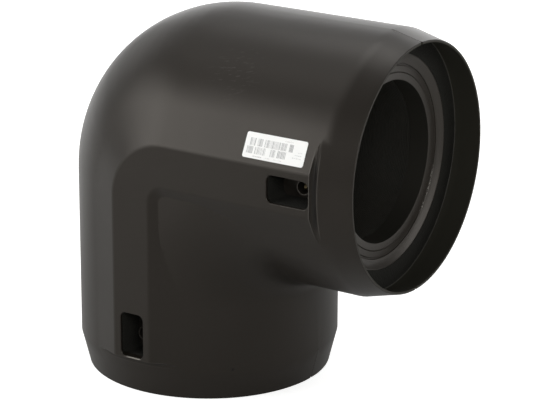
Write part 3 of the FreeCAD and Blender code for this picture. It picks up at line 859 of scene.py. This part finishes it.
# One operator for each group of pieces
class ELBOW_OT_jacket(bpy.types.Operator):
    """Make the two jacket shells with rounded rims and windows and a groove on the tapers"""

    bl_idname = "elbow.jacket"
    bl_label = "Jacket shells"

    def execute(self, context):
        settings = context.scene.elbow_jacket
        material = jacket_material(settings)
        seam = settings.seam_round / settings.edge_round
        window = settings.window_round / settings.edge_round
        taper_start = REACH - TAPER_LENGTH
        band_end = REACH - BAND_END_DEPTH

        def weigh(edge):
            """Round rims and windows fully, the joint on the tapers a little, the rest not."""
            ends = [vertex.co - CROSSING for vertex in edge.verts]
            middle = (ends[0] + ends[1]) / 2
            station = max(middle.x, -middle.z)
            if max(abs(point.y) for point in ends) < JOINT_SLACK:
                level = abs(middle.z if middle.x > -middle.z else middle.x)
                on_skin = level > SKIN_SHARE * JACKET_RADIUS
                return seam if on_skin and station > taper_start - LIMIT_SLACK else 0.0
            if station > taper_start + LIMIT_SLACK:
                return 1.0
            in_front = -middle.y > JACKET_RADIUS
            return window if in_front and station < band_end - LIMIT_SLACK else 0.0

        for side in ("front", "rear"):
            node = f"jacket_{side}_half"
            piece = add_object(f"jacket_{side}_shell", merged_copy(node, weigh))
            rounded(piece, settings.edge_round)
            hide_joint(piece)
            attach(piece, material, "jacket", node)
        return {"FINISHED"}


class ELBOW_OT_foam(bpy.types.Operator):
    """Give the foam its matt cellular face and a bead along the jacket"""

    bl_idname = "elbow.foam"
    bl_label = "Foam filling"

    def execute(self, context):
        settings = context.scene.elbow_filling
        dress_node("insulation_foam", foam_material(settings))
        skin = bead_material(settings)
        low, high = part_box("insulation_foam")
        tree = bead_tree()
        for leg, station in (("upper", high.x), ("lower", low.z)):
            piece = tree.make(
                f"{leg}_foam_bead", skin, radius=FOAM_RIM_RADIUS, bead_radius=settings.bead)
            piece.data.transform(on_leg(leg, station))
            attach(piece, skin, "foam")
        return {"FINISHED"}


class ELBOW_OT_fitting(bpy.types.Operator):
    """Make the socket elbow with rounded collars and shrouds"""

    bl_idname = "elbow.fitting"
    bl_label = "Socket elbow"

    def execute(self, context):
        settings = context.scene.elbow_fitting
        piece = add_object("socket_body", merged_copy("socket_elbow", lambda edge: 1.0))
        rounded(piece, settings.edge_round)
        attach(piece, fitting_material(settings), "fitting", "socket_elbow")
        return {"FINISHED"}


class ELBOW_OT_windings(bpy.types.Operator):
    """Wind the heating wires in both sockets and dress the link wire and the pins"""

    bl_idname = "elbow.windings"
    bl_label = "Heating wires and pins"

    def execute(self, context):
        settings = context.scene.elbow_winding
        sheath = sheath_material(settings)
        tree = winding_tree()
        pitch = settings.pitch
        for leg in ("upper", "lower"):
            low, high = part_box(f"{leg}_heating_coil")
            size = high - low
            along, station = (size.x, low.x) if leg == "upper" else (size.z, low.z)
            length = along - pitch
            piece = tree.make(
                f"{leg}_winding", sheath, turns=float(round(length / pitch)), length=length,
                radius=(size.y - pitch) / 2, wire_radius=(pitch - settings.gap) / 2)
            piece.data.transform(on_leg(leg, station + pitch / 2))
            attach(piece, sheath, "coil", f"{leg}_heating_coil")
        dress_node("coil_link_wire", sheath)
        brass = pin_material(settings)
        for leg in ("upper", "lower"):
            dress_node(f"{leg}_contact_pin", brass)
        return {"FINISHED"}


class ELBOW_OT_label(bpy.types.Operator):
    """Make the label's film and its rows of plain bars"""

    bl_idname = "elbow.label"
    bl_label = "Label"

    def execute(self, context):
        settings = context.scene.elbow_label
        low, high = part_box("product_label")
        turn = Matrix.Rotation(math.radians(90) - settings.slope, 4, "X")
        place = Matrix.Translation((low + high) / 2) @ turn
        film = add_object("label_film", self.film_mesh(settings))
        film.data.transform(place)
        attach(film, film_material(settings), "label", "product_label")
        ink = ink_material(settings)
        tree = bar_tree()
        for number, (word, bars, start, drop, length, height, fill) in enumerate(BAR_ROWS):
            row = tree.make(
                f"label_bars_{word}", ink, bars=bars, length=length * MM,
                height=height * MM, fill=fill, seed=settings.seed + number)
            spot = Vector((
                start * MM - settings.length / 2,
                settings.width / 2 - (drop + height / 2) * MM,
                FILM_THICKNESS / 2 + INK_LIFT))
            row.data.transform(place @ Matrix.Translation(spot))
            attach(row, ink, "label")
        return {"FINISHED"}

    def film_mesh(self, settings):
        """A thin sheet with round corners and a sloped upper edge, as large as the label."""
        points = []
        for number, (side_x, side_y) in enumerate(((1, 1), (-1, 1), (-1, -1), (1, -1))):
            centre_x = side_x * (settings.length / 2 - settings.corner)
            centre_y = side_y * (settings.width / 2 - settings.corner)
            for step in range(CORNER_STEPS + 1):
                angle = math.radians(90 * (number + step / CORNER_STEPS))
                points.append((centre_x + settings.corner * math.cos(angle),
                               centre_y + settings.corner * math.sin(angle)))
        shape = bmesh.new()
        top = FILM_THICKNESS / 2
        rims = []
        for level, inset in ((-top, 0.0), (top - FILM_EDGE, 0.0), (top, FILM_EDGE)):
            shrink_x = 1.0 - 2 * inset / settings.length
            shrink_y = 1.0 - 2 * inset / settings.width
            rims.append([
                shape.verts.new((x * shrink_x, y * shrink_y, level)) for x, y in points])
        for below, above in zip(rims, rims[1:]):
            for here in range(len(points)):
                after = (here + 1) % len(points)
                shape.faces.new((below[here], below[after], above[after], above[here]))
        shape.faces.new(rims[-1])
        shape.faces.new(rims[0][::-1])
        mesh = bpy.data.meshes.new("label_film")
        shape.to_mesh(mesh)
        shape.free()
        return mesh


class ELBOW_OT_stage(bpy.types.Operator):
    """Lay the pale floor, hang the lamps and set the camera"""

    bl_idname = "elbow.stage"
    bl_label = "Floor, lamps and camera"

    def execute(self, context):
        settings = context.scene.elbow_stage
        self.add_floor(settings)
        self.set_world(context.scene, settings)
        for name, turn, rise, side, power in LAMPS:
            self.add_lamp(name, direction(turn, rise), side, power * settings.lamp_level)
        self.add_camera(context.scene)
        context.scene.view_settings.view_transform = "Standard"
        return {"FINISHED"}

    def add_floor(self, settings):
        """Lay a pale floor that glows where the camera sees it or the plastic mirrors it."""
        half = settings.floor_size / 2
        mesh = bpy.data.meshes.new("floor")
        mesh.from_pydata(
            [(half * x, half * y, FLOOR_LEVEL) for x, y in ((-1, -1), (1, -1), (1, 1), (-1, 1))],
            [], [(0, 1, 2, 3)])
        floor = add_object("floor", mesh)
        shader = Shader(
            "pale_floor", roughness=0.9, specular_ior_level=0.1, emission_strength=1.0)
        colour = settings.floor_colour
        cloud = shader.noise(0.6, 2.0, 0.5)
        seen, mirrored = shader.rays()
        x, y, _ = shader.coordinates()
        away = 1.0 - shader.near(*FLOOR_NEAR)
        behind = 1.0 - (x * AHEAD_X + y * AHEAD_Y).below(*BEHIND)
        shader.paint(
            base_color=shader.mix(cloud, colour, toned(colour, 0.97)),
            emission_color=seen * (SEEN_GLOW + away * SEEN_GLOW_AWAY)
            + mirrored * (MIRRORED_GLOW + behind))
        mesh.materials.append(shader.material)

    def set_world(self, scene, settings):
        """Give even light from all round, which the camera sees as plain white."""
        world = bpy.data.worlds.new("studio")
        world.use_nodes = True
        nodes = Nodes(world.node_tree)
        seen, mirrored = nodes.rays()
        shown = mirrored * MIRRORED_WORLD + seen
        background = nodes.tree.nodes["Background"]
        nodes.feed(background.inputs["Color"], WHITE)
        nodes.feed(
            background.inputs["Strength"], settings.ambient + shown * (1.0 - settings.ambient))
        scene.world = world

    def add_lamp(self, name, away, side, power):
        """Hang a soft square lamp on one side of the elbow, turned to it."""
        data = bpy.data.lights.new(name, "AREA")
        data.shape = "SQUARE"
        data.size = side
        data.energy = power
        lamp = bpy.data.objects.new(name, data)
        lamp.location = LAMP_CENTRE + LAMP_DISTANCE * away
        lamp.rotation_euler = away.to_track_quat("Z", "Y").to_euler()
        bpy.context.scene.collection.objects.link(lamp)

    def add_camera(self, scene):
        """Set the camera where the photograph was taken from."""
        ahead = -direction(CAMERA_TURN, CAMERA_RISE)
        right = ahead.cross(Vector((0, 0, 1))).normalized()
        up = right.cross(ahead)
        roll = math.radians(CAMERA_ROLL)
        across = math.cos(roll) * right + math.sin(roll) * up
        upright = -math.sin(roll) * right + math.cos(roll) * up
        data = bpy.data.cameras.new("camera")
        data.lens = CAMERA_LENS
        data.sensor_width = CAMERA_SENSOR
        camera = bpy.data.objects.new("camera", data)
        basis = Matrix((across, upright, -ahead)).transposed().to_4x4()
        camera.matrix_world = Matrix.Translation(CAMERA_PLACE) @ basis
        scene.collection.objects.link(camera)
        scene.camera = camera


class ELBOW_PT_panel(bpy.types.Panel):
    """The elbow's pieces and sizes"""

    bl_idname = "ELBOW_PT_panel"
    bl_label = "Pipe elbow"
    bl_space_type = "VIEW_3D"
    bl_region_type = "UI"
    bl_category = "Elbow"

    def draw(self, context):
        for title, operator, group in STEPS:
            box = self.layout.box()
            box.label(text=title)
            settings = getattr(context.scene, group)
            for name in settings.__annotations__:
                box.prop(settings, name)
            box.operator(operator)


# The panel's boxes, which are also the order of making: title, operator and settings.
STEPS = (
    ("Jacket", "elbow.jacket", "elbow_jacket"),
    ("Foam", "elbow.foam", "elbow_filling"),
    ("Fitting", "elbow.fitting", "elbow_fitting"),
    ("Heating wires", "elbow.windings", "elbow_winding"),
    ("Label", "elbow.label", "elbow_label"),
    ("Stage", "elbow.stage", "elbow_stage"),
)
GROUPS = {
    "elbow_jacket": ElbowJacketSettings,
    "elbow_filling": ElbowFillingSettings,
    "elbow_fitting": ElbowFittingSettings,
    "elbow_winding": ElbowWindingSettings,
    "elbow_label": ElbowLabelSettings,
    "elbow_stage": ElbowStageSettings,
}
CLASSES = (
    *GROUPS.values(), ELBOW_OT_jacket, ELBOW_OT_foam, ELBOW_OT_fitting, ELBOW_OT_windings,
    ELBOW_OT_label, ELBOW_OT_stage, ELBOW_PT_panel,
)


def register():
    for item in CLASSES:
        bpy.utils.register_class(item)
    for name, group in GROUPS.items():
        setattr(bpy.types.Scene, name, PointerProperty(type=group))


def unregister():
    for name in GROUPS:
        delattr(bpy.types.Scene, name)
    for item in reversed(CLASSES):
        bpy.utils.unregister_class(item)


def main():
    register()
    for _, operator, _ in STEPS:
        group, name = operator.split(".")
        getattr(getattr(bpy.ops, group), name)()


if __name__ == "__main__":
    main()
